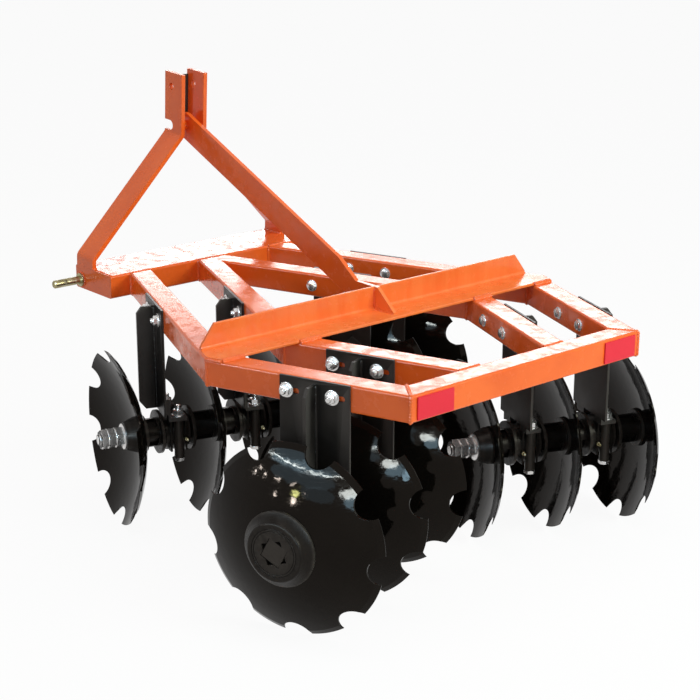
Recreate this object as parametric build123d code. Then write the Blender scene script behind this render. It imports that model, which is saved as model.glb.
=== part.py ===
from build123d import *
from math import cos, radians, sin, sqrt, tan
import os

# Mounted tandem disc harrow: four gangs of notched discs under a welded tube frame.
# Millimetres, +X forward, +Y left, +Z up. Everything is laid out from the rear face of
# the rear bar (X), the centre line (Y) and the level top of the frame (Z), and is moved
# at the end so that the discs stand on Z = 0 under the middle of the bounding box.

os.makedirs("parts", exist_ok=True)

# Frame of square tube
tube = 63.5                # outside width and height of the rails
tube_wall = 5.0
tube_corner = 6.0          # outside radius of the rails' edges
tube_corner_inside = 2.5
rail_angle = 21.0          # rails to the line of travel, degrees
corner_x = 489.0           # side corners of the frame
corner_y = 562.0
rail_offset = 211.0        # outer rail to inner rail, outer face to outer face
front_bar_x = 1246.4       # rear face of the front bar
front_bar_depth = 178.0
front_bar_half = 335.0
front_bar_wall = 6.35
end_plate = 6.5            # plates closing the front bar

# Angle iron across the rails, and its gusset
angle_leg = 63.5
angle_foot = 96.0
angle_thick = 6.35
angle_root = 7.0           # fillet between the two legs
angle_toe = 3.0            # rounded edges of the legs
angle_front = 546.35       # front face of the upright leg
angle_inset = 2.0          # ends kept inside the rails' outer faces
angle_clip = (40.0, 50.0)  # top corners cut off, across and down
gusset_thick = 10.0
gusset_length = 72.0
gusset_clip = (10.0, 5.0)  # top corner and tail left blunt

# Mast and brace
mast_width = 80.0
mast_thick = 12.0
mast_inside = 62.0         # clear width between the two plates
mast_top = 513.0
mast_bend = 343.0
mast_foot_bend = 28.0
mast_bend_inside = 11.0    # inside radius of the bends
mast_foot_x = 1378.0
mast_lean = 3.7            # degrees, leaning back
top_link_hole = 19.5
top_link_height = 474.0
top_link_forward = 10.0    # ahead of the plates' middle
notch_gap = 28.0           # open notch in the plates' front edges
notch_deep = 38.0
notch_height = 364.0
strip_width = 17.0
strip_thick = 6.0
strip_ends = (372.0, 498.0)
brace_thick = 12.0
brace_width = 72.0
brace_head = (1352.0, 362.0)
brace_slope = 23.2
brace_toe = (613.0, 680.0)  # where the upper edge starts to rise, and the full slope
brace_knee = 112.0
bush_radius = 14.0
bush_bore = 8.0

# Lower link pins
pin_x = 1398.0
pin_drop = 39.0
pin_dia = 22.2
pin_length = 82.0
pin_chamfer = 2.5
collar_dia = 38.0
collar_thick = 6.5
linch_hole = 11.5
linch_at = 49.0            # from the collar
linch_tilt = 36.0          # degrees, mouth up from level

# Rear reflectors
reflector_size = (4.0, 107.0, 52.0)
reflector_y = 302.5
reflector_drop = 32.0

# Discs
disc_radius = 228.6
disc_depth = 68.7          # hollow side, rim to pole
disc_thick = 4.0
disc_edge = 1.8            # land left at the bevelled rim
disc_bevel = 12.0
notch_count = 9
notch_radius = 36.0
notch_centre = 231.6
disc_spacing = 213.0
axle_drop = 351.0          # gang axles below the frame's top

# Gang axle and spools
axle_square = 28.6
axle_hole = 29.0           # square hole in the discs
axle_reach = 2.0           # bar run into the end castings
seat_gap = 0.2             # left between castings and the curved discs
spool_radius = 38.0
spool_flange = (49.0, 10.0)    # radius, thickness, against the discs
shield = (58.0, 8.0)           # radius, thickness, beside the bearings
window = (28.0, 0.72, 11.0)     # recesses round the spool: across, share of the length, deep
hub_radius = 31.95
boss_base = 47.5
boss_top = 36.0
boss_length = 38.7
boss_rim = 6.0
washer = (33.0, 5.0)
axle_nut = (44.0, 19.4)
nut_count = 3
nut_seam = 0.8             # between two nuts
thread_radius = 14.0
thread_out = 5.0           # beyond the last nut
end_base = (89.0, 5.0)     # big end casting on the rear gangs: radius, rim on the disc
end_radius = 71.0          # edge of its face
end_height = 19.0          # over the middle of the disc
end_round = 6.0
end_flare = 1.5            # hollow of its sloping side
end_rings = ((50.4, 51.8), (55.4, 57.0))   # thin grooves in the face
ring_deep = 1.5
star_side = 51.0
star_deep = 12.0
head_side = 49.4
head_height = 10.5
low_washer = (45.0, 6.0)   # front gangs, where the left and right gangs meet
low_head = (34.0, 9.0)

# Bearings, hung under the hangers
bearing_from_bulge = 90.0  # along the axle, from the disc that bulges toward the bearing
bearing_half = 33.0
bearing_radius = 47.0
bearing_bore = 32.0
bearing_gap = 5.0          # housing to shield
bearing_top = 45.0         # axle to the underside of the hanger's lugs
bearing_waist = (52.0, 9.0)     # flange round the middle of the barrel: radius, thickness
bearing_rib = (44.0, 5.0, 20.0)    # plates across the housing: height, thickness, from the middle
bearing_bolt_at = 49.0
bearing_boss = 13.0
clamp_radius = 7.0
clamp_below = 60.0
clamp_nut = (22.0, 13.0)
clamp_washer = (14.0, 3.0)
clamp_tip = 12.0
clamp_head = (22.0, 9.0)

# Hangers
web_width = 178.0
web_thick = 6.0
web_bottom = 286.0
stem_thick = 8.0
stem_out = 51.0            # from the rail's face
stem_top = (37.6, 9.5, 26.6)    # sloped top corner: out, below the frame's top, end of the slope
stem_foot = (34.5, 265.0)       # sloped bottom corner
lug_half = 19.0            # lugs under the web, one to each clamping bolt
lug_thick = 10.0
lug_rise = 62.0            # upright leg of each lug, on the web
lug_leg = 5.0
slot_spread = 116.0
slot_travel = 25.0
bolt_drop = 33.0
bolt_radius = 6.35
bolt_clear = 0.25
bolt_nut = (19.0, 11.0)
bolt_washer = (17.5, 3.0)
bolt_tip = 7.0
bolt_head = (19.0, 8.0)

# Gangs on the left: outer disc's rim centre, toe of the axle, side the discs bulge to
# (1 inward, -1 outward), notch phase of each disc from the outside inward.
GANGS = {
    "front": dict(x=994.7, y=504.2, toe=-16.1, bulge=1, low_end=True),
    "rear": dict(x=198.9, y=537.0, toe=21.5, bulge=-1, low_end=False),
}
NOTCH_PHASE = {
    "front_left": (28.0, 8.0, 28.0),
    "front_right": (28.0, 8.0, 28.0),
    "rear_left": (27.5, 7.5, 27.5),
    "rear_right": (25.0, 25.0, 25.0),
}
# Hangers on the left: distance of the web's middle from the side corner along the rail,
# how far its bolts sit ahead of the middle of their slots, and the packing between the
# web and its lugs.
HANGERS = {
    "front": dict(along=510.0, ahead=0.0, packing=10.0),
    "rear": dict(along=289.0, ahead=12.5, packing=0.0),
}

slope = tan(radians(rail_angle))
rail_cos = cos(radians(rail_angle))
rail_sin = sin(radians(rail_angle))


def flat(points, low, high):
    """Plate or bar with a plan outline, between two heights."""
    face = make_face(Polyline(*points, close=True))
    return Pos(0, 0, low) * extrude(face, high - low, dir=(0, 0, 1))


def upright(points, y_low, y_high):
    """Plate with an outline of (x, z) points, between two sideways positions."""
    edges = Polyline(*[(x, y_low, z) for x, z in points], close=True)
    return extrude(make_face(edges), y_high - y_low, dir=(0, 1, 0))


def block(x0, x1, y0, y1, z0, z1):
    return Pos((x0 + x1) / 2, (y0 + y1) / 2, (z0 + z1) / 2) * Box(x1 - x0, y1 - y0, z1 - z0)


def rod(radius, z0, z1, x=0.0, y=0.0):
    return Pos(x, y, (z0 + z1) / 2) * Cylinder(radius, z1 - z0)


def hexagon(flats, z0, z1, x=0.0, y=0.0):
    face = RegularPolygon(flats / 2, 6, major_radius=False)
    return Pos(x, y, z0) * extrude(face, z1 - z0, dir=(0, 0, 1))


def mirrored(shape):
    return mirror(shape, about=Plane.XZ)


def rounded_along(body, run, radius):
    """Rounds the long edges that lie along a direction."""
    run = Vector(*run).normalized()
    edges = body.edges().filter_by(lambda e: abs((e @ 1 - e @ 0).normalized().dot(run)) > 0.9999)
    return fillet(edges, radius)


def edges_along_y(body, x, z):
    return body.edges().filter_by(Axis.Y).filter_by(
        lambda e: abs(e.center().X - x) < 0.01 and abs(e.center().Z - z) < 0.01)


# Frame


def rail_y(x, inward):
    """Sideways position of a line parallel to the left rails, set inward from the outer face."""
    return corner_y - abs(x - corner_x) * slope - inward / rail_cos


def rail(inward, x0, x1):
    """One straight hollow left rail between two stations, with square-across ends."""
    walls = []
    for inset, corner in ((0, tube_corner), (tube_wall, tube_corner_inside)):
        near, far = inward + inset, inward + tube - inset
        points = [(x0, rail_y(x0, near)), (x1, rail_y(x1, near)),
                  (x1, rail_y(x1, far)), (x0, rail_y(x0, far))]
        run = (x1 - x0, rail_y(x1, near) - rail_y(x0, near), 0)
        walls.append(rounded_along(flat(points, inset - tube, -inset), run, corner))
    outside, inside = walls
    return outside - inside


def rear_bar_outline():
    wide = rail_y(0, 0)
    narrow = rail_y(tube, tube)
    return [(0, -wide), (0, wide), (tube, narrow), (tube, -narrow)]


def make_rear_bar():
    body = rounded_along(flat(rear_bar_outline(), -tube, 0), (0, 1, 0), tube_corner)
    reach = 2 * corner_y
    bore = block(tube_wall, tube - tube_wall, -reach, reach, -tube + tube_wall, -tube_wall)
    return body - rounded_along(bore, (0, 1, 0), tube_corner_inside)


def make_rails(inward, bolt_holes):
    """Rear and front left rails of a row, meeting at the side corner."""
    rear = rail(inward, 0, corner_x) - bolt_holes
    front = rail(inward, corner_x, front_bar_x) - bolt_holes
    if inward:
        # The inner rails start at the rear bar, and the left and right ones meet in front.
        rear -= block(-tube, tube, 0, corner_y, -2 * tube, tube)
        front -= block(corner_x, 2 * front_bar_x, -corner_y, 0, -2 * tube, tube)
        return rear, front
    # The outer rails are mitred to the rear bar.
    wide = rail_y(0, 0)
    narrow = rail_y(tube, tube)
    past = [(0, wide), (tube, narrow), (tube, -tube), (-tube, -tube), (-tube, wide)]
    return rear - flat(past, -2 * tube, tube), front


def make_front_bar():
    front = front_bar_x + front_bar_depth
    body = block(front_bar_x, front, -front_bar_half, front_bar_half, -tube, 0)
    w = front_bar_wall
    inside = front_bar_half - end_plate
    bore = block(front_bar_x + w, front - w, -inside, inside, -tube + w, -w)
    body = rounded_along(body, (0, 1, 0), tube_corner)
    return body - rounded_along(bore, (0, 1, 0), tube_corner_inside)


def make_cross_angle():
    rear = angle_front - angle_foot
    plan = [(x, rail_y(x, 0) - angle_inset) for x in (rear, corner_x, angle_front)]
    plan += [(x, -y) for x, y in reversed(plan)]
    body = flat(plan, 0, angle_thick)
    half = rail_y(angle_front, 0) - angle_inset
    across, down = angle_clip
    leg = [(-half, 0), (half, 0), (half, angle_leg - down), (half - across, angle_leg),
           (across - half, angle_leg), (-half, angle_leg - down)]
    face = make_face(Polyline(*[(angle_front, y, z) for y, z in leg], close=True))
    body += extrude(face, angle_thick, dir=(-1, 0, 0))
    back = angle_front - angle_thick
    for x, z, radius in ((back, angle_thick, angle_root), (back, angle_leg, angle_toe),
                         (rear, angle_thick, angle_toe)):
        body = fillet(edges_along_y(body, x, z), radius)
    blunt, tail = gusset_clip
    gusset = [(back - gusset_length, angle_thick), (back, angle_thick), (back, angle_leg),
              (back - blunt, angle_leg), (back - gusset_length, angle_thick + tail)]
    body += upright(gusset, -gusset_thick / 2, gusset_thick / 2)
    return body


# Mast, brace and link pins


def strip_outline(line, thick):
    """Outline of a bent flat bar round its centre line, with mitred bends."""
    pts = [Vector(*p) for p in line]
    left = []
    right = []
    for i, p in enumerate(pts):
        runs = []
        if i > 0:
            runs.append((p - pts[i - 1]).normalized())
        if i < len(pts) - 1:
            runs.append((pts[i + 1] - p).normalized())
        normals = [Vector(-d.Y, d.X) for d in runs]
        mean = normals[0]
        if len(normals) == 2:
            mean = (normals[0] + normals[1]).normalized()
        reach = thick / 2 / mean.dot(normals[0])
        left.append(p + mean * reach)
        right.append(p - mean * reach)
    return [(v.X, v.Y) for v in left + right[::-1]]


def make_mast_arm():
    """Left arm: a bent flat bar, leaning back on top of the front bar."""
    top_y = (mast_inside + mast_thick) / 2
    foot_y = front_bar_half - mast_thick / 2
    line = [(foot_y, -mast_foot_bend), (foot_y, mast_foot_bend), (top_y, mast_bend), (top_y, mast_top)]
    outline = strip_outline(line, mast_thick)
    face = make_face(Polyline(*[(-mast_width / 2, y, z) for y, z in outline], close=True))
    arm = extrude(face, mast_width, dir=(1, 0, 0))
    # The foot bends toward the middle, the head back to upright: inside edge, then outside edge.
    outside = mast_bend_inside + mast_thick
    for height, place, radius in ((mast_foot_bend, 0, mast_bend_inside), (mast_foot_bend, -1, outside),
                                  (mast_bend, -1, mast_bend_inside), (mast_bend, 0, outside)):
        bends = arm.edges().filter_by(Axis.X).filter_by(
            lambda e: abs(e.center().Z - height) < mast_thick)
        arm = fillet(bends.sort_by(Axis.Y)[place], radius)
    hole = Pos(top_link_forward, 0, top_link_height) * Rot(90, 0, 0) * Cylinder(
        top_link_hole / 2, 4 * mast_inside)
    arm -= hole
    end = mast_width / 2 - notch_deep + notch_gap / 2
    notch = Pos(end, 0, notch_height) * Rot(90, 0, 0) * Cylinder(notch_gap / 2, 4 * mast_inside)
    mouth = block(end, mast_width, -2 * mast_inside, 2 * mast_inside,
                  notch_height - notch_gap / 2, notch_height + notch_gap / 2)
    arm = arm - notch - mouth
    arm = Pos(mast_foot_x, 0, 0) * Rot(0, -mast_lean, 0) * arm
    return arm - block(0, 2 * front_bar_x, -corner_y, corner_y, -corner_y, 0)


def make_mast_strip():
    """Dark flat strip against the right plate, at its front edge."""
    y0 = -mast_inside / 2
    low, high = strip_ends
    front = mast_width / 2
    strip = block(front - strip_thick, front, y0, y0 + strip_width, low, high)
    return Pos(mast_foot_x, 0, 0) * Rot(0, -mast_lean, 0) * strip


def make_brace():
    hx, hz = brace_head
    c, s = cos(radians(brace_slope)), sin(radians(brace_slope))
    half = brace_width / 2
    toe, knee = brace_toe
    low_x = hx + half * s - (hz - half * c) * c / s
    points = [(angle_front, 0), (low_x, 0), (hx + half * s, hz - half * c),
              (hx - half * s, hz + half * c), (knee, brace_knee), (toe, angle_leg),
              (angle_front, angle_leg)]
    body = upright(points, -brace_thick / 2, brace_thick / 2)
    head = Pos(hx, 0, hz) * Rot(90, 0, 0)
    body += head * Cylinder(half, brace_thick)
    body += head * Cylinder(bush_radius, mast_inside)
    body -= head * Cylinder(bush_bore, 2 * mast_inside)
    return body


def make_lower_pins():
    body = Part()
    for side in (1, -1):
        start = side * front_bar_half
        frame = Plane(origin=(pin_x, start, -pin_drop), x_dir=(1, 0, 0), z_dir=(0, side, 0))
        pin = rod(collar_dia / 2, 0, collar_thick)
        pin += rod(pin_dia / 2, 0, collar_thick + pin_length)
        tip = collar_thick + pin_length
        pin = chamfer(pin.edges().filter_by(GeomType.CIRCLE).sort_by(Axis.Z)[-1], pin_chamfer)
        hole = Pos(0, 0, collar_thick + linch_at) * Rot(0, 0, side * linch_tilt) * Rot(0, 90, 0)
        hole = hole * Cylinder(linch_hole / 2, tip)
        body += frame * (pin - hole)
    return body


def make_reflectors():
    deep, wide, high = reflector_size
    body = Part()
    for y in (reflector_y, -reflector_y):
        body += Pos(-deep / 2, y, -reflector_drop) * Box(deep, wide, high)
    return body


# Discs and gang axles

hollow_radius = (disc_radius**2 + disc_depth**2) / (2 * disc_depth)
bulge_radius = hollow_radius + disc_thick
sphere_back = hollow_radius - disc_depth   # sphere centre behind the rim plane


def hollow_at(r):
    return sqrt(hollow_radius**2 - r**2) - sphere_back


def bulge_at(r):
    return sqrt(bulge_radius**2 - r**2) - sphere_back


def gang_plane(gang):
    """Axes of a left gang: origin in the outer disc's rim plane, Z along the axle inward."""
    toe = radians(gang["toe"])
    return Plane(origin=(gang["x"], gang["y"], -axle_drop),
                 x_dir=(cos(toe), sin(toe), 0), z_dir=(sin(toe), -cos(toe), 0))


def toward(shape, bulge):
    """A shape drawn with the disc bulging to +Z, turned to the side the gang's discs bulge."""
    return shape if bulge > 0 else mirror(shape, about=Plane.XY)


def make_disc(phase, bulge, square):
    """Hollow disc with a bevelled, notched rim and a hole for the square axle."""
    inner = disc_radius - disc_bevel
    hollow = ThreePointArc((0, 0, hollow_at(0)), (disc_radius / 2, 0, hollow_at(disc_radius / 2)),
                           (disc_radius, 0, 0))
    rounded = ThreePointArc((inner, 0, bulge_at(inner)), (inner / 2, 0, bulge_at(inner / 2)),
                            (0, 0, bulge_at(0)))
    rim = Polyline((disc_radius, 0, 0), (disc_radius, 0, disc_edge), (inner, 0, bulge_at(inner)))
    axis = Line((0, 0, bulge_at(0)), (0, 0, hollow_at(0)))
    body = revolve(make_face(hollow + rim + rounded + axis), Axis.Z)
    for k in range(notch_count):
        a = radians(phase + 360 * k / notch_count)
        x, y = notch_centre * cos(a), notch_centre * sin(a)
        body -= rod(notch_radius, -disc_depth, disc_depth, x, y)
    body -= Rot(0, 0, square) * Box(axle_hole, axle_hole, 4 * disc_depth)
    return toward(body, bulge)


def bearing_at(bulge):
    """Middle of the bearing between two discs, from the outer disc's rim plane."""
    inward = bulge_at(0) + bearing_from_bulge
    return inward if bulge > 0 else disc_spacing - inward


def make_spool():
    """Spool between two discs, drawn with the discs bulging to +Z, first rim plane at Z = 0."""
    fr, ft = spool_flange
    sr, st = shield
    low = bulge_at(0) + seat_gap
    high = disc_spacing + hollow_at(0) - seat_gap
    mid = bearing_at(1)
    hub = bearing_half + bearing_gap
    drop_low = bulge_at(fr) - bulge_at(0)
    drop_high = hollow_at(fr) - hollow_at(0)
    start = ThreePointArc((0, 0, low), (fr / 2, 0, low + bulge_at(fr / 2) - bulge_at(0)),
                          (fr, 0, low + drop_low))
    end = ThreePointArc((fr, 0, high + drop_high),
                        (fr / 2, 0, high + hollow_at(fr / 2) - hollow_at(0)), (0, 0, high))
    steps = [(fr, low + drop_low), (fr, low + ft), (spool_radius, low + ft),
             (spool_radius, mid - hub - st), (sr, mid - hub - st), (sr, mid - hub),
             (hub_radius, mid - hub), (hub_radius, mid + hub), (sr, mid + hub),
             (sr, mid + hub + st), (spool_radius, mid + hub + st), (spool_radius, high - ft),
             (fr, high - ft), (fr, high + drop_high)]
    side = Polyline(*[(r, 0, z) for r, z in steps])
    body = revolve(make_face(start + side + end + Line((0, 0, high), (0, 0, low))), Axis.Z)
    across, share, deep = window
    for z0, z1 in ((low + ft, mid - hub - st), (mid + hub + st, high - ft)):
        for k in range(4):
            cut = Pos(spool_radius, 0, (z0 + z1) / 2) * Box(2 * deep, across, share * (z1 - z0))
            body -= Rot(0, 0, 90 * k) * cut
    return body


def make_nut_end(hollow_side):
    """Boss, washer and nut in the hollow of a disc, drawn toward -Z from the disc's pole."""
    z = hollow_side - seat_gap
    flare = hollow_at(boss_base) - hollow_at(0)
    base = ThreePointArc((0, 0, z), (boss_base / 2, 0, z + hollow_at(boss_base / 2) - hollow_at(0)),
                         (boss_base, 0, z + flare))
    top = z - boss_length
    side = Polyline((boss_base, 0, z + flare), (boss_base, 0, z + flare - boss_rim), (boss_top, 0, top),
                    (0, 0, top), (0, 0, z))
    body = revolve(make_face(base + side), Axis.Z)
    wr, wt = washer
    flats, thick = axle_nut
    body += rod(wr, top - wt, top)
    face = top - wt
    for k in range(nut_count):
        body += hexagon(flats, face - thick, face)
        face -= thick + nut_seam
    body += rod(thread_radius, face - thread_out, top)
    return body


def make_big_end(pole):
    """Round casting on the bulging side, with the axle's square head in a star recess."""
    z = pole + seat_gap
    face = z + end_height
    wide, rim = end_base
    foot = z + bulge_at(wide) - bulge_at(0)
    shoulder = face - end_round
    base = ThreePointArc((0, 0, z), (wide / 2, 0, z + bulge_at(wide / 2) - bulge_at(0)), (wide, 0, foot))
    edge = Line((wide, 0, foot), (wide, 0, foot + rim))
    flare = ThreePointArc((wide, 0, foot + rim),
                          ((wide + end_radius) / 2 - end_flare, 0, (foot + rim + shoulder) / 2),
                          (end_radius, 0, shoulder))
    bow = end_round * (1 - sqrt(0.5))
    turn = ThreePointArc((end_radius, 0, shoulder), (end_radius - bow, 0, face - bow),
                         (end_radius - end_round, 0, face))
    cap = Polyline((end_radius - end_round, 0, face), (0, 0, face), (0, 0, z))
    body = revolve(make_face(base + edge + flare + turn + cap), Axis.Z)
    for inner, outer in end_rings:
        ring = rod(outer, face - ring_deep, face + ring_deep)
        body -= ring - rod(inner, face - 2 * ring_deep, face + 2 * ring_deep)
    floor = face - star_deep
    for angle in (0, 45):
        body -= Pos(0, 0, face) * Rot(0, 0, angle) * Box(star_side, star_side, 2 * star_deep)
    body += Pos(0, 0, floor + head_height / 2) * Box(head_side, head_side, head_height)
    return body


def make_low_end(pole):
    """Thin washer and low square head, where the left and right front gangs face each other."""
    z = pole + seat_gap
    radius, thick = low_washer
    side, high = low_head
    drop = bulge_at(radius) - bulge_at(0)
    base = ThreePointArc((0, 0, z), (radius / 2, 0, z + bulge_at(radius / 2) - bulge_at(0)),
                         (radius, 0, z + drop))
    rim = Polyline((radius, 0, z + drop), (radius, 0, z + thick), (0, 0, z + thick), (0, 0, z))
    body = revolve(make_face(base + rim), Axis.Z)
    body += Pos(0, 0, z + thick + high / 2) * Box(side, side, high)
    return body


def make_axle(gang, phase):
    """Square axle with its two spools and both ends, drawn along Z and turned to the gang's side."""
    bulge = gang["bulge"]
    first = hollow_at(0)
    last = 2 * disc_spacing + bulge_at(0)
    bar = Pos(0, 0, (first + last) / 2) * Box(axle_square, axle_square, last - first + 2 * axle_reach)
    body = bar + make_nut_end(first)
    for k in range(2):
        body += Pos(0, 0, k * disc_spacing) * make_spool()
    body += make_low_end(last) if gang["low_end"] else make_big_end(last)
    body = Rot(0, 0, phase) * body
    if bulge < 0:
        # The rear gangs are the same build, run the other way along the axle.
        body = Pos(0, 0, 2 * disc_spacing) * toward(body, bulge)
    return body


# Hangers and bearings


def hanger_plane(rail_end, inward):
    """Axes on a left rail's outer face at a hanger's middle: X rearward, Y up, Z outward."""
    along = HANGERS[rail_end]["along"]
    way = 1 if rail_end == "front" else -1
    out = Vector(way * rail_sin, rail_cos, 0)
    run = Vector(way * rail_cos, -rail_sin, 0)
    point = Vector(corner_x, corner_y, 0) + run * along - out * inward
    if inward:
        # Distances along an inner rail are counted from its own corner.
        point = Vector(corner_x, rail_y(corner_x, inward), 0) + run * (along - inward * slope)
    return Plane(origin=point, x_dir=(-out.Y, out.X, 0), z_dir=out)


def bolt_places(rail_end):
    ahead = HANGERS[rail_end]["ahead"]
    return [side * slot_spread / 2 - ahead for side in (-1, 1)]


def bearing_plane(rail_end, number):
    """Axes of a bearing: the gang's own, moved along the axle."""
    gang = GANGS[rail_end]
    frame = gang_plane(gang)
    middle = number * disc_spacing + bearing_at(gang["bulge"])
    return Plane(origin=frame.origin + frame.z_dir * middle, x_dir=frame.x_dir, z_dir=frame.z_dir)


def rail_holes(rail_end, inward):
    holes = Part()
    for x in bolt_places(rail_end):
        holes += rod(bolt_radius + bolt_clear, -2 * tube, tube, x, -bolt_drop)
    return hanger_plane(rail_end, inward) * holes


def make_hanger(rail_end, inward, number):
    """Web bolted to the rail, stem welded square to it, and two lugs over the bearing."""
    frame = hanger_plane(rail_end, inward)
    half = web_width / 2
    body = block(-half, half, -web_bottom, 0, 0, web_thick)
    for side in (-1, 1):
        x = side * slot_spread / 2
        for end in (-1, 1):
            body -= rod(bolt_radius + bolt_clear, -web_thick, 2 * web_thick,
                        x + end * slot_travel / 2, -bolt_drop)
        body -= block(x - slot_travel / 2, x + slot_travel / 2,
                      -bolt_drop - bolt_radius - bolt_clear, -bolt_drop + bolt_radius + bolt_clear,
                      -web_thick, 2 * web_thick)
    top_out, top_drop, slope_end = stem_top
    foot_out, foot_drop = stem_foot
    stem = [(web_thick, -top_drop), (top_out, -top_drop), (stem_out, -slope_end),
            (stem_out, -foot_drop), (foot_out, -web_bottom), (web_thick, -web_bottom)]
    edge = Polyline(*[(-stem_thick / 2, y, z) for z, y in stem], close=True)
    body += extrude(make_face(edge), stem_thick, dir=(1, 0, 0))
    clamp = bearing_plane(rail_end, number)
    packing = HANGERS[rail_end]["packing"]
    points = []
    for side in (-1, 1):
        spot = clamp.origin + clamp.x_dir * side * bearing_bolt_at
        points.append(frame.to_local_coords(spot))
    under = bearing_top - axle_drop
    for p in points:
        x0, x1 = p.X - lug_half, p.X + lug_half
        # Lugs on the front hangers lie inside the web, those on the rear hangers outside it.
        way, web_face, reach = (1, web_thick, p.Z) if p.Z > 0 else (-1, 0, -p.Z)
        start = web_face + way * packing
        z0, z1 = sorted((start, way * (reach + lug_half)))
        lug = block(x0, x1, under, under + lug_thick, z0, z1)
        z0, z1 = sorted((start, start + way * lug_leg))
        lug += block(x0, x1, under, under + lug_rise, z0, z1)
        if packing:
            z0, z1 = sorted((start, web_face))
            lug += block(x0, x1, -web_bottom, under + lug_rise, z0, z1)
        lug -= Pos(p.X, under, p.Z) * Rot(90, 0, 0) * Cylinder(clamp_radius + bolt_clear, 4 * lug_thick)
        body += lug
    for x in bolt_places(rail_end):
        wr, wt = bolt_washer
        flats, thick = bolt_nut
        head_flats, head_thick = bolt_head
        bolt = rod(bolt_radius, -tube, web_thick + wt + thick + bolt_tip, x, -bolt_drop)
        bolt += rod(wr, web_thick, web_thick + wt, x, -bolt_drop)
        bolt += hexagon(flats, web_thick + wt, web_thick + wt + thick, x, -bolt_drop)
        bolt += hexagon(head_flats, -tube - head_thick, -tube, x, -bolt_drop)
        body += bolt
    return frame * body


def make_bearing(rail_end, number):
    """Housing with its two clamping bolts up through the hanger's foot."""
    body = rod(bearing_radius, -bearing_half, bearing_half)
    radius, thick = bearing_waist
    body += rod(radius, -thick / 2, thick / 2)
    high, thin, at = bearing_rib
    for z in (-at, at):
        body += block(-bearing_bolt_at, bearing_bolt_at, -high, high, z - thin / 2, z + thin / 2)
    flats, thick = clamp_nut
    wr, wt = clamp_washer
    head_flats, head_thick = clamp_head
    top = bearing_top + lug_thick
    for side in (-1, 1):
        up = Pos(side * bearing_bolt_at, 0, 0) * Rot(-90, 0, 0)
        body += up * rod(bearing_boss, -clamp_below, bearing_top)
        body += up * rod(clamp_radius, -clamp_below, top + wt + thick + clamp_tip)
        body += up * rod(wr, top, top + wt)
        body += up * hexagon(flats, top + wt, top + wt + thick)
        body += up * hexagon(head_flats, -clamp_below - head_thick, -clamp_below)
    body -= rod(bearing_bore, -2 * bearing_half, 2 * bearing_half)
    return bearing_plane(rail_end, number) * body


# Assembly

nodes = {
    "front_bar": make_front_bar(),
    "rear_bar": make_rear_bar(),
    "cross_angle": make_cross_angle(),
    "mast_left": make_mast_arm(),
    "mast_strip": make_mast_strip(),
    "brace": make_brace(),
    "lower_pins": make_lower_pins(),
    "reflectors": make_reflectors(),
}
nodes["mast_right"] = mirrored(nodes["mast_left"])

for row, inward in (("outer", 0), ("inner", rail_offset)):
    holes = rail_holes("front", inward) + rail_holes("rear", inward)
    for part, piece in zip(("rear", "front"), make_rails(inward, holes)):
        nodes[f"left_{row}_{part}_rail"] = piece
        nodes[f"right_{row}_{part}_rail"] = mirrored(piece)

for end, gang in GANGS.items():
    frame = gang_plane(gang)
    for number, (row, inward) in enumerate((("outer", 0), ("inner", rail_offset))):
        hanger = make_hanger(end, inward, number)
        bearing = make_bearing(end, number)
        nodes[f"{end}_left_{row}_hanger"] = hanger
        nodes[f"{end}_right_{row}_hanger"] = mirrored(hanger)
        nodes[f"{end}_left_{row}_bearing"] = bearing
        nodes[f"{end}_right_{row}_bearing"] = mirrored(bearing)
    for side in ("left", "right"):
        phases = NOTCH_PHASE[f"{end}_{side}"]
        pieces = {"axle": make_axle(gang, phases[0])}
        for k, label in enumerate(("outer", "middle", "inner")):
            disc = make_disc(phases[k], gang["bulge"], phases[0])
            pieces[f"{label}_disc"] = Pos(0, 0, k * disc_spacing) * disc
        for label, piece in pieces.items():
            placed = frame * piece
            nodes[f"{end}_{side}_{label}"] = placed if side == "left" else mirrored(placed)

boxes = [shape.bounding_box() for shape in nodes.values()]
middle_x = (min(b.min.X for b in boxes) + max(b.max.X for b in boxes)) / 2
to_row = Pos(-middle_x, 0, axle_drop + disc_radius)
for name, shape in nodes.items():
    export_step(to_row * shape, f"parts/{name}.step")
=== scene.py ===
"""Looks of the disc harrow: paint, castings, zinc hardware, welds, floor, light and camera."""
import math
import random

import bpy
from mathutils import Matrix, Vector


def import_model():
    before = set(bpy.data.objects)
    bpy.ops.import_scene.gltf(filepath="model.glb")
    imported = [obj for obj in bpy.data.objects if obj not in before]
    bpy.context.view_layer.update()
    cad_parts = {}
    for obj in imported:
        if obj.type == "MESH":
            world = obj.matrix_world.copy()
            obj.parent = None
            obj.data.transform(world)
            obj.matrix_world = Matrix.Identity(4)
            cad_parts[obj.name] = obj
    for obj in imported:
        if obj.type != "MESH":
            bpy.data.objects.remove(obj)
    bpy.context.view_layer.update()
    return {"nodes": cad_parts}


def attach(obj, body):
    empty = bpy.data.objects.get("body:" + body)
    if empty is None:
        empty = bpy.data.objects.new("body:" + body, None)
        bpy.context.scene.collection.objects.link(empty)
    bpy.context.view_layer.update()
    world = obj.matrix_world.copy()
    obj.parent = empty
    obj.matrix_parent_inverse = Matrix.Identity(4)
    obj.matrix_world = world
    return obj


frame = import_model()
nodes = frame["nodes"]
random.seed(11)

# Sizes of the model, in millimetres, under its own names. X is counted from the rear face of
# the rear bar and Z from the top of the frame, and the next two lead to the shared frame.
MIDDLE_X = 705.007
FRAME_TOP = 579.6

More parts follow.
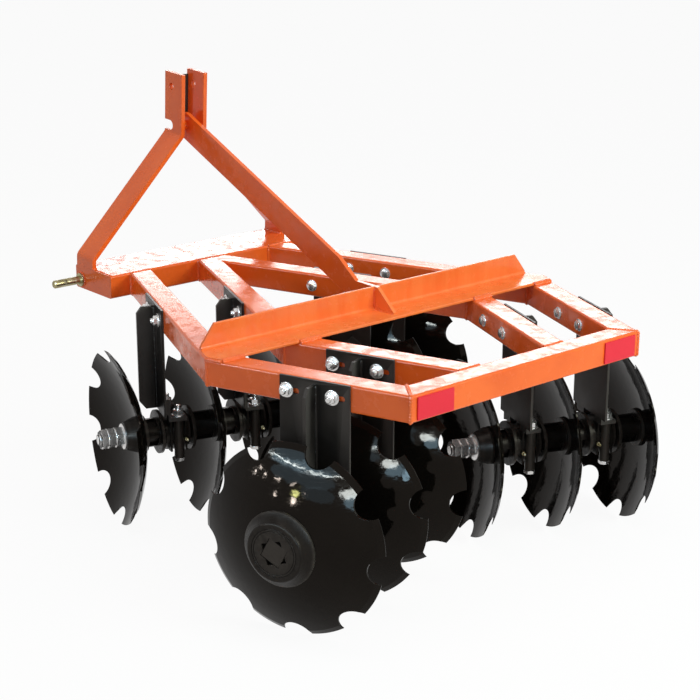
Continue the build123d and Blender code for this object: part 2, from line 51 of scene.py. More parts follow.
# Tube frame
TUBE = 63.5
RAIL_ANGLE = math.radians(21.0)
SLOPE = math.tan(RAIL_ANGLE)
CORNER_X, CORNER_Y = 489.0, 562.0
RAIL_OFFSET = 211.0
FRONT_BAR_X, FRONT_BAR_DEPTH, FRONT_BAR_HALF = 1246.4, 178.0, 335.0
END_PLATE = 6.5

# Angle, mast and link pins
ANGLE_FRONT, ANGLE_FOOT, ANGLE_THICK = 546.35, 96.0, 6.35
GUSSET_THICK, GUSSET_LENGTH = 10.0, 72.0
MAST_FOOT_X, MAST_WIDTH, MAST_THICK = 1378.0, 80.0, 12.0
BRACE_THICK = 12.0
PIN_X, PIN_DROP, COLLAR_RADIUS = 1398.0, 39.0, 19.0

# Gangs and bearings
AXLE_DROP = 351.0
DISC_SPACING = 213.0
HOLLOW_POLE, BULGE_POLE = 68.7, 72.7
SEAT_GAP = 0.2
BOSS_LENGTH = 38.7
WASHER = (33.0, 5.0)           # radius, thickness
AXLE_NUT = (44.0, 19.4)        # across flats, height
NUT_COUNT = 3
NUT_SEAM = 0.8
THREAD_OUT = 5.0
BEARING_FROM_BULGE = 90.0
BEARING_BOLT_AT = 49.0
CLAMP_TOP = 55.0
CLAMP_BELOW = 60.0
GANGS = {
    "front": dict(x=994.7, y=504.2, toe=-16.1, bulge=1),
    "rear": dict(x=198.9, y=537.0, toe=21.5, bulge=-1),
}
# Turn of the axle's square, which the axle nuts follow, in degrees
FIRST_PHASE = {"front_left": 28.0, "front_right": 28.0, "rear_left": 27.5, "rear_right": 25.0}

# Hangers
WEB_THICK = 6.0
STEM_THICK = 8.0
BOLT_DROP = 33.0
SLOT_SPREAD = 116.0
HANGERS = {"front": dict(along=510.0, ahead=0.0), "rear": dict(along=289.0, ahead=12.5)}

# Hardware of this script. Lathe steps are (radius, height), counted from the seat.
DRESSED = 0.9                  # an axle nut or its washer stands this far outside the plain one
BOLTS = {
    "hanger": dict(
        washer=((8, 0), (17.7, 0), (17.9, 0.6), (17.9, 2.6), (17.2, 3.3), (8, 3.3)),
        flats=22.6,
        nut=(3.2, 14.6),                   # low and high end
        rim=((13.0, 3.2), (13.0, 4.4), (11.4, 5.0)),
        thread=(6.9, 13.0, 21.6, 1.9),     # radius, low and high end, pitch
        head=(8.6, 0.0),                   # low and high end, below its seat
    ),
    "clamp": dict(
        washer=((8, 0), (17.4, 0), (17.6, 2.6), (16.8, 3.2), (8, 3.2)),
        flats=25.6,
        nut=(3.2, 16.4),
        rim=(),
        thread=(7.4, 15.0, 28.4, 2.0),
        head=(9.4, 0.1),
    ),
}
HEAD_WASHER = ((15.5, -2.4), (16.0, -2.0), (16.0, 0.0))
SEAM_RING = ((20.0, -1.6), (25.2, -1.4), (25.9, -0.7), (25.9, 0.1), (25.2, 0.8), (20.0, 1.0))
AXLE_BORE, AXLE_CORE = 16.0, 14.6
AXLE_TIP = (11.4, 14.3)        # radius at the end, and of the thread behind it
GREASE_AT = (-48.5, -12.0, 20.0)
GREASE_HEX = (9.5, 0.0, 7.0)
NIPPLE = ((3.4, 6.9), (3.4, 11.0), (2.4, 12.2), (3.6, 14.0), (3.0, 15.8), (1.3, 17.0))
BEAD_ARC = (-30, 15, 52, 90, 128, 165, 210)
SHARP_ANGLE = math.radians(38)
IDENTITY = Matrix.Identity(4)


def axes(origin, x_dir, z_dir):
    """Matrix whose columns are the axes of a local frame at a point, in millimetres."""
    x, z = Vector(x_dir).normalized(), Vector(z_dir).normalized()
    y = z.cross(x)
    m = Matrix((x, y, z)).transposed().to_4x4()
    m.translation = Vector(origin)
    return m


def shift(x=0.0, y=0.0, z=0.0):
    return Matrix.Translation((x, y, z))


def turn(degrees, axis):
    return Matrix.Rotation(math.radians(degrees), 4, axis)


def rail_y(x, inward):
    """Y of a left rail's face at X, for a face this far inward of the outer rail's outer face."""
    return CORNER_Y - abs(x - CORNER_X) * SLOPE - inward / math.cos(RAIL_ANGLE)


def gang_axes(end):
    """Axes of a left gang at its outer disc's rim: Z inward along the axle."""
    gang = GANGS[end]
    toe = math.radians(gang["toe"])
    return axes((gang["x"], gang["y"], -AXLE_DROP),
                (math.cos(toe), math.sin(toe), 0), (math.sin(toe), -math.cos(toe), 0))


def bearing_axes(end, number):
    """Axes of a bearing: the gang's own, moved along the axle."""
    inward = BULGE_POLE + BEARING_FROM_BULGE
    middle = inward if GANGS[end]["bulge"] > 0 else DISC_SPACING - inward
    return gang_axes(end) @ shift(z=number * DISC_SPACING + middle)


def hanger_axes(end, inward):
    """Axes on the left rail's outer face at a hanger's middle: X rearward, Y up, Z outward."""
    way = 1 if end == "front" else -1
    out = Vector((way * math.sin(RAIL_ANGLE), math.cos(RAIL_ANGLE), 0))
    run = Vector((way * math.cos(RAIL_ANGLE), -math.sin(RAIL_ANGLE), 0))
    start = Vector((CORNER_X, rail_y(CORNER_X, inward), 0))
    point = start + run * (HANGERS[end]["along"] - inward * SLOPE)
    return axes(point, (-out.y, out.x, 0), out)


# Mesh building


def raised(steps, height):
    """Lathe steps moved up their axis."""
    return [(r, z + height) for r, z in steps]


class Shape:
    """Collects faces in millimetres, to be made into one piece."""

    def __init__(self):
        self.points = []
        self.faces = []

    def rings(self, rings, at=IDENTITY):
        """Skin over rings of equal length, with both ends capped."""
        base = len(self.points)
        n = len(rings[0])
        self.points += [at @ Vector(p) for ring in rings for p in ring]
        faces = []
        for k in range(len(rings) - 1):
            for i in range(n):
                j = (i + 1) % n
                faces.append([k * n + i, k * n + j, (k + 1) * n + j, (k + 1) * n + i])
        faces.append(list(range(n))[::-1])
        faces.append([(len(rings) - 1) * n + i for i in range(n)])
        self.faces += [[base + i for i in f] for f in faces]

    def lathe(self, profile, at=IDENTITY, segments=32):
        """Solid of revolution round local Z from (radius, z) steps."""
        rings = []
        for r, z in profile:
            rings.append([(r * math.cos(2 * math.pi * i / segments),
                           r * math.sin(2 * math.pi * i / segments), z) for i in range(segments)])
        self.rings(rings, at)

    def hex_nut(self, flats, low, high, at=IDENTITY, segments=48):
        """Hexagonal nut with both ends chamfered to a circle, so its corners are rounded off."""
        chamfer = math.tan(math.radians(30))
        circle = flats / 2 * 0.97
        outline = []
        for i in range(segments):
            a = 2 * math.pi * i / segments
            from_flat = (a % (math.pi / 3)) - math.pi / 6
            outline.append((a, flats / 2 / math.cos(from_flat)))
        rings = [
            [(circle * math.cos(a), circle * math.sin(a), low) for a, r in outline],
            [(r * math.cos(a), r * math.sin(a), low + (r - circle) * chamfer)
             for a, r in outline],
            [(r * math.cos(a), r * math.sin(a), high - (r - circle) * chamfer)
             for a, r in outline],
            [(circle * math.cos(a), circle * math.sin(a), high) for a, r in outline],
        ]
        self.rings(rings, at)

    def thread(self, radius, low, high, pitch, at=IDENTITY, segments=24):
        """Bolt end with a cut thread and a chamfered tip."""
        depth = 0.32 * pitch
        steps = [(radius, low)]
        turns = max(1, int((high - low - pitch) / pitch))
        for k in range(turns):
            z = low + k * pitch
            steps += [(radius, z + 0.1 * pitch), (radius - depth, z + 0.5 * pitch),
                      (radius, z + 0.9 * pitch)]
        steps += [(radius, high - pitch), (radius - pitch * 0.8, high)]
        self.lathe(steps, at, segments)

    def bolt(self, kind, seat, head_seat, at, spin):
        """Washer, nut and thread on a seat, and the head; the hexagons stand as `spin` says."""
        sizes = BOLTS[kind]
        self.lathe(raised(sizes["washer"], seat), at)
        low, high = sizes["nut"]
        self.hex_nut(sizes["flats"], seat + low, seat + high, spin)
        if sizes["rim"]:
            self.lathe(raised(sizes["rim"], seat), at)
        radius, low, high, pitch = sizes["thread"]
        self.thread(radius, seat + low, seat + high, pitch, at)
        low, high = sizes["head"]
        self.hex_nut(sizes["flats"], head_seat - low, head_seat - high, spin)

    def weld(self, path, radius, side, step=1.7, ripple=4.2):
        """Fillet weld bead along a path, laid into the corner that faces `side`."""
        rings = []
        phase = random.random() * 6
        for a, b in zip(path, path[1:]):
            a, b = Vector(a), Vector(b)
            run = (b - a).normalized()
            out = Vector(side)
            out = (out - run * out.dot(run)).normalized()
            across = run.cross(out)
            count = max(2, int((b - a).length / step))
            for k in range(count + 1):
                s = (b - a).length * k / count
                wave = abs(math.sin(math.pi * s / ripple + phase))
                r = radius * (0.86 + 0.18 * wave + random.uniform(-0.025, 0.025))
                if not rings or k == count:
                    r *= 0.7
                lag = 1.3 * (1 - wave)
                centre = a + run * s
                rings.append([centre + out * (r * math.sin(t)) + across * (r * math.cos(t) * 1.12)
                              + run * (lag * math.sin(t))
                              for t in [math.radians(d) for d in BEAD_ARC]])
        self.rings(rings)

    def make(self, name, material, body, mirror):
        """Piece in the shared frame that rides on a body, mirrored for the right side."""
        points = [((p.x - MIDDLE_X) / 1000, (-p.y if mirror else p.y) / 1000,
                   (p.z + FRAME_TOP) / 1000) for p in self.points]
        faces = [f[::-1] for f in self.faces] if mirror else self.faces
        mesh = bpy.data.meshes.new(name)
        mesh.from_pydata(points, [], faces)
        mesh.validate()
        mesh.materials.append(material)
        piece = bpy.data.objects.new(name, mesh)
        bpy.context.scene.collection.objects.link(piece)
        bpy.context.view_layer.update()
        mesh.shade_smooth()
        mesh.set_sharp_from_angle(angle=SHARP_ANGLE)
        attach(piece, body)


# Materials


class Nodes:
    """Short names for the shader nodes that the materials share."""

    def __init__(self, name):
        self.material = bpy.data.materials.new(name)
        self.material.use_nodes = True
        self.tree = self.material.node_tree
        self.shader = self.tree.nodes["Principled BSDF"]
        self.output = self.tree.nodes["Material Output"]
        self.coords = self.tree.nodes.new("ShaderNodeTexCoord").outputs["Object"]

    def new(self, kind, **settings):
        node = self.tree.nodes.new(kind)
        for key, value in settings.items():
            setattr(node, key, value)
        return node

    def link(self, a, b):
        self.tree.links.new(a, b)

    def fill(self, socket, value):
        """Link a socket, or give it a colour or a number."""
        if isinstance(value, bpy.types.NodeSocket):
            self.link(value, socket)
        elif isinstance(value, (tuple, list)):
            socket.default_value = (*value, 1)
        else:
            socket.default_value = value

    def noise(self, scale, detail=4.0, rough=0.55, stretch=None):
        node = self.new("ShaderNodeTexNoise")
        node.inputs["Scale"].default_value = scale
        node.inputs["Detail"].default_value = detail
        node.inputs["Roughness"].default_value = rough
        source = self.coords
        if stretch:
            mapping = self.new("ShaderNodeMapping")
            mapping.inputs["Scale"].default_value = stretch
            self.link(source, mapping.inputs["Vector"])
            source = mapping.outputs["Vector"]
        self.link(source, node.inputs["Vector"])
        return node.outputs["Fac"]

    def ramp(self, source, stops):
        """Colour or grey ramp from (place, colour) stops."""
        node = self.new("ShaderNodeValToRGB")
        elements = node.color_ramp.elements
        while len(elements) < len(stops):
            elements.new(0.5)
        for element, (place, colour) in zip(elements, stops):
            element.position = place
            if not isinstance(colour, (tuple, list)):
                colour = (colour, colour, colour)
            element.color = (*colour, 1)
        self.link(source, node.inputs["Fac"])
        return node.outputs["Color"]

    def mix(self, factor, a, b, blend="MIX"):
        node = self.new("ShaderNodeMix", data_type="RGBA", blend_type=blend)
        # Sockets 6 and 7 are the two colours, and output 2 is their mix.
        for socket, value in zip((node.inputs["Factor"], node.inputs[6], node.inputs[7]),
                                 (factor, a, b)):
            self.fill(socket, value)
        return node.outputs[2]

    def bump(self, source, strength, distance, before=None):
        node = self.new("ShaderNodeBump")
        node.inputs["Strength"].default_value = strength
        node.inputs["Distance"].default_value = distance
        self.link(source, node.inputs["Height"])
        if before is not None:
            self.link(before, node.inputs["Normal"])
        return node.outputs["Normal"]

    def rounded(self, radius):
        node = self.new("ShaderNodeBevel", samples=4)
        node.inputs["Radius"].default_value = radius
        return node.outputs["Normal"]

    def edges(self, low, high):
        """Grey mask of outer edges, for wear and thin paint, and for a painted highlight where
        edges catch the light.
        """
        geometry = self.new("ShaderNodeNewGeometry")
        return self.ramp(geometry.outputs["Pointiness"], [(low, 0.0), (high, 1.0)])

    def set(self, **values):
        """Fill the shader's sockets, named with underscores for spaces."""
        for key, value in values.items():
            self.fill(self.shader.inputs[key.replace("_", " ")], value)


def orange_paint(name, painted_sheen=0.0):
    """Gloss orange enamel: faint orange peel, slow shifts of shade, dust and rubbed specks.

    Its second argument, 0 to 1, lays pale upright streaks over it: painted sheen, a painted
    reflection of bright surroundings that also paints the face as more strongly lit.
    """
    n = Nodes(name)
    shade = n.ramp(n.noise(7.0, 3.0),
                   [(0.35, (0.76, 0.114, 0.014)), (0.65, (0.84, 0.142, 0.021))])
    specks = n.ramp(n.noise(260.0, 2.0), [(0.70, 0.0), (0.76, 1.0)])
    patches = n.ramp(n.noise(19.0, 2.0), [(0.52, 0.0), (0.66, 0.4)])
    rubbed = n.mix(1.0, specks, patches, "MULTIPLY")
    colour = n.mix(rubbed, shade, (0.88, 0.32, 0.14))
    # Painted sheen: pale upright streaks stand in for reflected light, not for a change in the
    # paint.
    if painted_sheen:
        streaks = n.ramp(n.noise(30.0, 4.0, 0.6, (1, 1, 0.15)),
                         [(0.38, 0.5 * painted_sheen), (0.64, painted_sheen)])
        colour = n.mix(streaks, colour, (0.88, 0.27, 0.075))
    normal = n.bump(n.noise(620.0, 2.0), 0.035, 0.0006, n.rounded(0.0012))
    normal = n.bump(n.noise(38.0, 2.0, 0.5), 0.09, 0.003, normal)
    rough = n.ramp(n.noise(33.0, 5.0, 0.65), [(0.38, 0.09), (0.62, 0.30)])
    n.set(Base_Color=colour, Roughness=rough, Normal=normal, IOR=1.36)
    return n.material


def black_gloss():
    """Gloss black enamel on the pressed discs: shallow waves, fine scuffs and dust."""
    n = Nodes("black_gloss")
    shade = n.ramp(n.noise(9.0, 3.0),
                   [(0.35, (0.0030, 0.0024, 0.0020)), (0.7, (0.0052, 0.0042, 0.0034))])
    dust = n.ramp(n.noise(85.0, 6.0, 0.7), [(0.62, 0.0), (0.80, 0.30)])
    colour = n.mix(dust, shade, (0.030, 0.025, 0.020))
    normal = n.bump(n.noise(14.0, 2.0), 0.14, 0.004, n.rounded(0.0009))
    normal = n.bump(n.noise(46.0, 2.0), 0.16, 0.0015, normal)
    normal = n.bump(n.noise(430.0, 2.0), 0.03, 0.0005, normal)
    scuffs = n.ramp(n.noise(60.0, 6.0, 0.65, (1, 1, 6)), [(0.42, 0.035), (0.75, 0.15)])
    n.set(Base_Color=colour, Roughness=scuffs, Normal=normal, IOR=1.20,
          Specular_Tint=(1.0, 0.84, 0.72))
    return n.material


def black_satin():
    """Satin black paint on rolled plate."""
    n = Nodes("black_satin")
    shade = n.ramp(n.noise(11.0, 4.0),
                   [(0.3, (0.0090, 0.0080, 0.0074)), (0.7, (0.0150, 0.0132, 0.0120))])
    # Lighter outer edges: partly wear, partly a painted highlight.
    edge = n.edges(0.505, 0.56)
    colour = n.mix(edge, shade, (0.05, 0.045, 0.042))
    normal = n.bump(n.noise(300.0, 3.0), 0.08, 0.0006, n.rounded(0.0012))
    rough = n.ramp(n.noise(24.0, 4.0), [(0.3, 0.28), (0.7, 0.42)])
    n.set(Base_Color=colour, Roughness=rough, Normal=normal, IOR=1.24,
          Specular_Tint=(1.0, 0.88, 0.80))
    return n.material


def black_casting():
    """Black paint over sand-cast iron."""
    n = Nodes("black_casting")
    shade = n.ramp(n.noise(28.0, 4.0),
                   [(0.3, (0.0035, 0.0030, 0.0026)), (0.7, (0.0090, 0.0074, 0.0062))])
    # Lighter outer edges: partly wear, partly a painted highlight.
    edge = n.edges(0.51, 0.60)
    colour = n.mix(edge, shade, (0.036, 0.031, 0.027))
    normal = n.bump(n.noise(330.0, 4.0, 0.7), 0.35, 0.0007, n.rounded(0.0014))
    normal = n.bump(n.noise(70.0, 3.0), 0.18, 0.002, normal)
    rough = n.ramp(n.noise(40.0, 4.0), [(0.3, 0.24), (0.7, 0.42)])
    n.set(Base_Color=colour, Roughness=rough, Normal=normal, IOR=1.22,
          Specular_Tint=(1.0, 0.86, 0.76))
    return n.material


def bright_zinc():
    """Bright zinc plate with clouding and fine machining marks."""
    n = Nodes("bright_zinc")
    shade = n.ramp(n.noise(45.0, 3.0), [(0.3, (0.55, 0.53, 0.52)), (0.7, (0.66, 0.64, 0.62))])
    normal = n.bump(n.noise(240.0, 2.0), 0.05, 0.0003, n.rounded(0.0007))
    rough = n.ramp(n.noise(70.0, 3.0), [(0.3, 0.20), (0.7, 0.28)])
    n.set(Base_Color=shade, Metallic=0.8, Roughness=rough, Normal=normal)
    return n.material


def yellow_zinc():
    """Yellow chromate on the link pins and grease fittings, straw to olive."""
    n = Nodes("yellow_zinc")
    shade = n.ramp(n.noise(60.0, 4.0, 0.6, (1, 0.4, 1)),
                   [(0.28, (0.12, 0.095, 0.035)), (0.5, (0.30, 0.25, 0.13)),
                    (0.72, (0.50, 0.46, 0.34))])
    normal = n.bump(n.noise(700.0, 2.0), 0.08, 0.0003, n.rounded(0.0006))
    rough = n.ramp(n.noise(90.0, 3.0), [(0.3, 0.20), (0.7, 0.40)])
    n.set(Base_Color=shade, Metallic=1.0, Roughness=rough, Normal=normal)
    return n.material


def red_reflector():
    """Retroreflective sheet: small cells under a clear gloss face."""
    n = Nodes("red_reflector")
    cells = n.new("ShaderNodeTexVoronoi", feature="DISTANCE_TO_EDGE")
    cells.inputs["Scale"].default_value = 420.0
    cells.inputs["Randomness"].default_value = 0.15
    n.link(n.coords, cells.inputs["Vector"])
    lines = n.ramp(cells.outputs["Distance"], [(0.03, 0.0), (0.09, 1.0)])
    colour = n.mix(lines, (0.66, 0.018, 0.036), (0.72, 0.021, 0.040))
    normal = n.bump(cells.outputs["Distance"], 0.02, 0.0002)
    n.set(Base_Color=colour, Roughness=0.30, Normal=normal, IOR=1.3)
    return n.material


orange = orange_paint("orange_paint")
# The cross angle's orange carries painted sheen: paler streaks in place of the light it reflects.
painted_sheen_orange = orange_paint("orange_paint_with_painted_sheen", 0.5)
gloss = black_gloss()
satin = black_satin()
cast = black_casting()
zinc = bright_zinc()
chromate = yellow_zinc()
reflector = red_reflector()

# Paint of the nodes whose names end so; the rest of the frame is plain orange
PAINTS = (
    ("_disc", gloss),
    ("_hanger", satin),
    ("mast_strip", satin),
    ("_bearing", cast),
    ("_axle", cast),
    ("lower_pins", chromate),
    ("reflectors", reflector),
    # The cross angle takes the orange with painted sheen.
    ("cross_angle", painted_sheen_orange),
)
for name, node in nodes.items():
    paint = next((paint for ending, paint in PAINTS if name.endswith(ending)), orange)
    node.data.materials.clear()
    node.data.materials.append(paint)

# Zinc hardware


def hanger_bolts():
    """Bolts that hold each hanger's web to its rail, with heads on the rail's inner face."""
    shape = Shape()
    for end in HANGERS:
        for inward in (0, RAIL_OFFSET):
            base = hanger_axes(end, inward)
            for side in (-1, 1):
                at = base @ shift(side * SLOT_SPREAD / 2 - HANGERS[end]["ahead"], -BOLT_DROP)
                at = at @ turn(random.uniform(0, 60), "Z")
                shape.bolt("hanger", WEB_THICK, -TUBE, at, at)
                shape.lathe(raised(HEAD_WASHER, -TUBE), at)
    return shape


def bearing_bolts():
    """Bolts that clamp each bearing to its hanger."""
    shape = Shape()
    for end in GANGS:
        for number in (0, 1):
            base = bearing_axes(end, number)
            for side in (-1, 1):
                at = base @ shift(side * BEARING_BOLT_AT) @ turn(-90, "X")
                spin = at @ turn(random.uniform(0, 60), "Z")
                shape.bolt("clamp", CLAMP_TOP, -CLAMP_BELOW, at, spin)
    return shape


def axle_nuts(end, phase):
    """Washer, nuts and the thread at the hollow end of a gang."""
    shape = Shape()
    base = gang_axes(end)
    if GANGS[end]["bulge"] < 0:
        base = base @ shift(z=2 * DISC_SPACING) @ turn(180, "X")
        phase = -phase
    spin = base @ turn(phase, "Z")
    radius, thick = WASHER
    flats, height = AXLE_NUT
    rim = radius + DRESSED
    top = HOLLOW_POLE - SEAT_GAP - BOSS_LENGTH
    first_face = top - thick
    shape.lathe([(AXLE_BORE, first_face - DRESSED), (rim - 1.4, first_face - DRESSED),
                 (rim, first_face), (rim, top - 0.7), (rim - 0.8, top), (AXLE_BORE, top)],
                base, 48)
    face = first_face
    for _ in range(NUT_COUNT):
        shape.hex_nut(flats + 2 * DRESSED, face - height + 0.6, face - 0.6, spin)
        shape.lathe(raised(SEAM_RING, face), base, 48)
        face -= height + NUT_SEAM
    shape.lathe([(AXLE_CORE, face - 0.1), (AXLE_CORE, first_face)], base)
    tip, thread = AXLE_TIP
    shape.lathe([(tip, face - THREAD_OUT - 0.3), (thread, face - 2.4), (thread, face + 1)], base)
    return shape


def grease_fittings():
    """Fitting on the rear of each bearing housing."""
    shape = Shape()
    for end in GANGS:
        for number in (0, 1):
            at = bearing_axes(end, number) @ shift(*GREASE_AT) @ turn(-90, "Y")
            shape.hex_nut(*GREASE_HEX, at, 24)
            shape.lathe(NIPPLE, at, 16)
    return shape


# Welds. Each bead is a path, a radius and the way it faces, and lies a millimetre or so off
# the edge that it fills.
UP, DOWN, FRONT, BACK = (0, 0, 1), (0, 0, -1), (1, 0, 0), (-1, 0, 0)


def rail_end_welds(shape):
    """Outer rail's mitre on the rear bar, then the other rail ends on both bars."""
    wide, narrow = rail_y(0, 0), rail_y(TUBE, TUBE)
    shape.weld([(1, wide - 1, -2.4), (TUBE + 1, narrow - 2, -2.4)], 5.2, UP, ripple=7)
    shape.weld([(1, wide - 1, -TUBE + 0.6), (TUBE - 1, narrow + 1, -TUBE + 0.6)], 3.0, DOWN)
    shape.weld([(2.6, wide - 2.2, -1), (2.6, wide - 2.2, -TUBE + 1)], 5.2, (-1, 1, 0), ripple=7)
    shape.weld([(TUBE, narrow, -3), (TUBE, narrow, -TUBE + 3)], 3.6, (1, -1, 0))
    ends = [(TUBE, RAIL_OFFSET, FRONT), (FRONT_BAR_X, RAIL_OFFSET, BACK), (FRONT_BAR_X, 0, BACK)]
    for x, inward, face in ends:
        outer, inner = rail_y(x, inward), max(rail_y(x, inward + TUBE), 1.0)
        for z, way in ((-2.2, UP), (-TUBE + 2.2, DOWN)):
            shape.weld([(x, outer - 1, z), (x, inner + 1, z)], 4.6, way, ripple=6)
        shape.weld([(x, outer, -3), (x, outer, -TUBE + 3)], 4.4, (face[0], 1, 0))
        if inner > 2:
            shape.weld([(x, inner, -3), (x, inner, -TUBE + 3)], 4.4, (face[0], -1, 0))


def side_corner_welds(shape):
    """Corners where the rear and front tubes of each rail meet."""
    for inward in (0, RAIL_OFFSET):
        outer, inner = rail_y(CORNER_X, inward), rail_y(CORNER_X, inward + TUBE)
        for y, radius, way in ((outer - 1.8, 4.0, 1), (inner + 0.4, 3.4, -1)):
            shape.weld([(CORNER_X, y, -1), (CORNER_X, y, -TUBE + 1)], radius, (0, way, 0))
        low = -TUBE + 0.5
        shape.weld([(CORNER_X, outer - 1, low), (CORNER_X, inner + 1, low)], 3.0, DOWN)


def angle_welds(shape):
    """Angle across the rails: both edges of its foot on each rail, and its end."""
    foot_rear = ANGLE_FRONT - ANGLE_FOOT
    for x, face in ((foot_rear, BACK), (ANGLE_FRONT, FRONT)):
        for inward in (0, RAIL_OFFSET):
            outer, inner = rail_y(x, inward) - 3, rail_y(x, inward + TUBE) + 2
            shape.weld([(x, outer, 0.5), (x, inner, 0.5)], 7.6, (face[0], 0, 1), ripple=9)
    end = [(x, rail_y(x, 0) - 1.4, 0.8) for x in (foot_rear, CORNER_X, ANGLE_FRONT)]
    shape.weld(end, 4.2, (0, 1, 1), ripple=7)


def mast_welds(shape):
    """Mast plate, closing plate and link pin on the front bar."""
    half, inner = MAST_WIDTH / 2, FRONT_BAR_HALF - MAST_THICK
    shape.weld([(MAST_FOOT_X - half + 1, inner, 0.5), (MAST_FOOT_X + half - 1, inner, 0.5)],
               4.6, (0, -1, 1))
    for way in (-1, 1):
        x = MAST_FOOT_X + way * half
        shape.weld([(x, inner + 1, 0.5), (x, FRONT_BAR_HALF - 2, 0.5)], 4.0, (way, 0, 1))
    seam = FRONT_BAR_HALF - END_PLATE
    shape.weld([(FRONT_BAR_X + 3, seam, 0), (FRONT_BAR_X + FRONT_BAR_DEPTH - 3, seam, 0)],
               2.0, UP)
    ring = [(PIN_X + COLLAR_RADIUS * math.cos(a), FRONT_BAR_HALF + 0.5,
             -PIN_DROP + COLLAR_RADIUS * math.sin(a))
            for a in [2 * math.pi * k / 40 for k in range(41)]]
    for a, b in zip(ring, ring[1:]):
        shape.weld([a, b], 2.8, (a[0] - PIN_X, 14, a[2] + PIN_DROP))


def brace_welds(shape):
    """Toe of the brace and the gusset, on either side of the angle."""
    rear_face = ANGLE_FRONT - ANGLE_THICK
    shape.weld([(ANGLE_FRONT, BRACE_THICK / 2, 2), (ANGLE_FRONT, BRACE_THICK / 2, 62)],
               3.6, (1, 1, 0))
    y, z = GUSSET_THICK / 2, ANGLE_THICK + 0.25
    shape.weld([(rear_face, y, 9), (rear_face, y, 58)], 3.6, (-1, 1, 0))
    shape.weld([(rear_face - GUSSET_LENGTH + 2, y, z), (rear_face - 2, y, z)], 3.2, (0, 1, 1))


def frame_welds():
    """Beads where the left half's tubes, angle and mast meet."""
    shape = Shape()
    rail_end_welds(shape)
    side_corner_welds(shape)
    angle_welds(shape)
    mast_welds(shape)
    brace_welds(shape)
    return shape


def hanger_welds():
    """Beads down both sides of each hanger's stem, on the web."""
    shape = Shape()
    for end in HANGERS:
        for inward in (0, RAIL_OFFSET):
            base = hanger_axes(end, inward)
            for side in (-1, 1):
                a, b = (base @ Vector((side * STEM_THICK / 2, y, WEB_THICK)) for y in (-12, -284))
                out = base.to_3x3() @ Vector((side, 0, 1))
                shape.weld([a, b], 4.2, out, step=2.2, ripple=5.0)
    return shape


# Name, shape and material of the pieces that ride on the frame
FRAME_PIECES = (
    ("hanger_bolts", hanger_bolts(), zinc),
    ("bearing_bolts", bearing_bolts(), zinc),
    ("grease_fittings", grease_fittings(), chromate),
    ("frame_welds", frame_welds(), orange),
    ("hanger_welds", hanger_welds(), satin),
)
for side in ("left", "right"):
    flip = side == "right"
    for name, shape, material in FRAME_PIECES:
        shape.make(f"{name}_{side}", material, "frame", flip)
    for end in GANGS:
        nuts = axle_nuts(end, FIRST_PHASE[f"{end}_{side}"])
        nuts.make(f"{end}_{side}_axle_nuts", zinc, f"{end}_{side}_gang", flip)

# Floor, light and camera, in metres
FLOOR_HALF = 40.0
FLOOR_WHITE = 0.93             # share of plain white that is seen; the rest holds the shadow
WORLD_LIGHT, WORLD_SEEN = 0.40, 1.0
LAMP_AIM, CARD_AIM = (0, 0, 0.4), (0, 0, 0.5)
WHITE, PALE = (1, 1, 1), (0.72, 0.90, 1.0)
BLUISH, GREENISH = (0.38, 0.70, 1.0), (0.85, 1.0, 0.42)
# Name, place, width and height, power in watts, colour
LAMPS = (
    ("rear", (-4.4, -1.4, 2.6), (2.6, 1.4), 165, (0.86, 1.0, 0.92)),
    ("overhead", (-0.6, 0.4, 3.8), (2.6, 1.4), 45, WHITE),
)
# Name, place, width and height, radiance, colour
CARDS = (
    ("front_tops", (5.32, -3.36, 1.91), (2.1, 0.54), 7, WHITE),
    ("rear_tops", (3.50, -4.10, 2.40), (2.2, 0.90), 5.3, WHITE),
    ("line_front", (0.60, 5.68, 3.00), (3.1, 0.07), 190, PALE),
    ("line_rear", (-2.45, 5.52, 3.02), (3.1, 0.07), 190, PALE),
    ("glow_high", (-0.70, 5.75, 3.35), (5.4, 1.2), 5, BLUISH),
    ("glow_inner", (-0.60, 5.80, 3.12), (5.0, 0.5), 9, BLUISH),
    ("glow_low", (-0.90, 6.10, 2.55), (5.2, 1.1), 3, BLUISH),
    ("glow_base", (-2.20, 6.05, 1.75), (2.6, 1.0), 2, BLUISH),
    ("patch", (-4.10, 5.05, 2.10), (1.2, 0.55), 75, PALE),
    ("patch_low", (-4.40, 4.90, 1.65), (1.3, 0.9), 16, BLUISH),
    ("tail", (-5.00, 4.20, 1.45), (0.5, 0.9), 40, BLUISH),
    ("spot_a", (2.58, 5.63, 1.61), (0.22, 0.25), 110, WHITE),
    ("spot_b", (0.76, 6.24, 1.92), (0.45, 0.14), 120, WHITE),
    ("spot_c", (-0.78, 6.46, 1.47), (0.34, 0.32), 100, GREENISH),
    ("spot_d", (-0.73, 6.54, 1.01), (0.18, 0.40), 130, WHITE),
    ("spot_e", (0.64, 6.44, 1.05), (0.15, 0.30), 110, WHITE),
    ("spot_f", (1.75, 5.95, 1.75), (0.14, 0.12), 120, WHITE),
    ("spot_g", (2.20, 5.70, 1.95), (0.12, 0.16), 110, WHITE),
    ("spot_h", (-0.45, 6.35, 1.98), (0.26, 0.10), 90, WHITE),
    ("spot_i", (-1.35, 6.25, 1.62), (0.10, 0.18), 80, WHITE),
)


def seen(tree):
    """Socket that is 1 where the camera looks, straight, in a reflection or through glass."""
    path = tree.nodes.new("ShaderNodeLightPath")
    socket = path.outputs["Is Camera Ray"]
    for kind in ("Is Glossy Ray", "Is Transmission Ray"):
        either = tree.nodes.new("ShaderNodeMath")
        either.operation = "MAXIMUM"
        tree.links.new(socket, either.inputs[0])
        tree.links.new(path.outputs[kind], either.inputs[1])
        socket = either.outputs[0]
    return socket


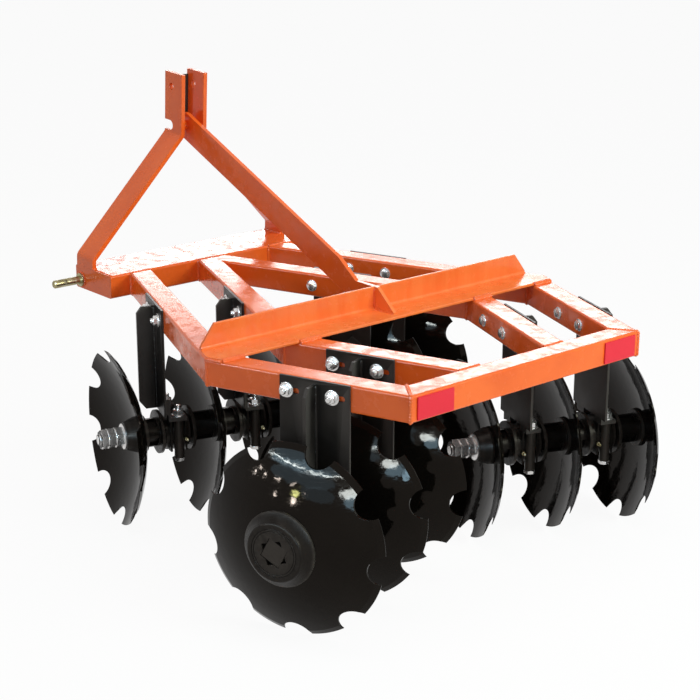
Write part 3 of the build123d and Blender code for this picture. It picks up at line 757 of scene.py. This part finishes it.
def floor():
    """Pale floor that reads as white to the camera and keeps the object's shadow."""
    half = FLOOR_HALF
    mesh = bpy.data.meshes.new("floor")
    mesh.from_pydata([(-half, -half, 0), (half, -half, 0), (half, half, 0), (-half, half, 0)],
                     [], [(0, 1, 2, 3)])
    piece = bpy.data.objects.new("floor", mesh)
    bpy.context.scene.collection.objects.link(piece)
    n = Nodes("floor")
    n.set(Base_Color=(0.88, 0.88, 0.88), Roughness=0.9, Specular_IOR_Level=0.0)
    glow = n.new("ShaderNodeEmission")
    glow.inputs["Color"].default_value = (1, 1, 1, 1)
    share = n.new("ShaderNodeMath", operation="MULTIPLY")
    share.inputs[1].default_value = FLOOR_WHITE
    blend = n.new("ShaderNodeMixShader")
    n.link(seen(n.tree), share.inputs[0])
    n.link(share.outputs[0], blend.inputs["Fac"])
    n.link(n.shader.outputs[0], blend.inputs[1])
    n.link(glow.outputs[0], blend.inputs[2])
    n.link(blend.outputs[0], n.output.inputs["Surface"])
    mesh.materials.append(n.material)


def world():
    """White to whatever looks at it, and dimmer as a light."""
    scene = bpy.context.scene
    scene.world = bpy.data.worlds.new("studio")
    scene.world.use_nodes = True
    tree = scene.world.node_tree
    back = tree.nodes["Background"]
    back.inputs["Color"].default_value = (1, 1, 1, 1)
    level = tree.nodes.new("ShaderNodeMapRange")
    level.inputs["To Min"].default_value = WORLD_LIGHT
    level.inputs["To Max"].default_value = WORLD_SEEN
    tree.links.new(seen(tree), level.inputs["Value"])
    tree.links.new(level.outputs["Result"], back.inputs["Strength"])


def lamp(name, place, size, power, colour, target=LAMP_AIM):
    """Rectangular lamp that the camera doesn't see."""
    data = bpy.data.lights.new(name, "AREA")
    data.shape = "RECTANGLE"
    data.size, data.size_y = size
    data.energy = power
    data.color = colour
    item = bpy.data.objects.new(name, data)
    item.location = place
    item.rotation_euler = (Vector(target) - Vector(place)).to_track_quat("-Z", "Y").to_euler()
    item.visible_camera = False
    bpy.context.scene.collection.objects.link(item)
    return item


def card(name, place, size, level, colour):
    """Oval card of a given radiance that shows only as a reflection in glossy surfaces."""
    item = lamp(name, place, size, level * math.pi * size[0] * size[1], colour, CARD_AIM)
    item.visible_diffuse = False
    item.data.shape = "ELLIPSE"


floor()
world()
for row in LAMPS:
    lamp(*row)
for row in CARDS:
    card(*row)

# The photograph's camera: angles in degrees, place in the model's millimetres
VIEW_AZIMUTH, VIEW_ELEVATION, VIEW_ROLL = 229.54, 17.68, 0.15
VIEW_FROM = (-2416.1, 2606.4, 1151.9)
FOCAL_PIXELS, IMAGE_PIXELS, SENSOR = 1629.87, 700, 36.0


def camera():
    """Camera that was fitted to the photograph."""
    a, e = math.radians(VIEW_AZIMUTH), math.radians(VIEW_ELEVATION)
    back = Vector((math.sin(a) * math.cos(e), -math.cos(a) * math.cos(e), math.sin(e)))
    right = Vector((math.cos(a), math.sin(a), 0))
    up = back.cross(right)
    matrix = Matrix((right, up, back)).transposed().to_4x4() @ turn(VIEW_ROLL, "Z")
    matrix.translation = Vector(((VIEW_FROM[0] - MIDDLE_X) / 1000, VIEW_FROM[1] / 1000,
                                 (VIEW_FROM[2] + FRAME_TOP) / 1000))
    data = bpy.data.cameras.new("camera")
    data.sensor_width = SENSOR
    data.lens = SENSOR * FOCAL_PIXELS / IMAGE_PIXELS
    data.clip_end = 200
    item = bpy.data.objects.new("camera", data)
    item.matrix_world = matrix
    bpy.context.scene.collection.objects.link(item)
    bpy.context.scene.camera = item


camera()
bpy.context.scene.view_settings.view_transform = "Standard"
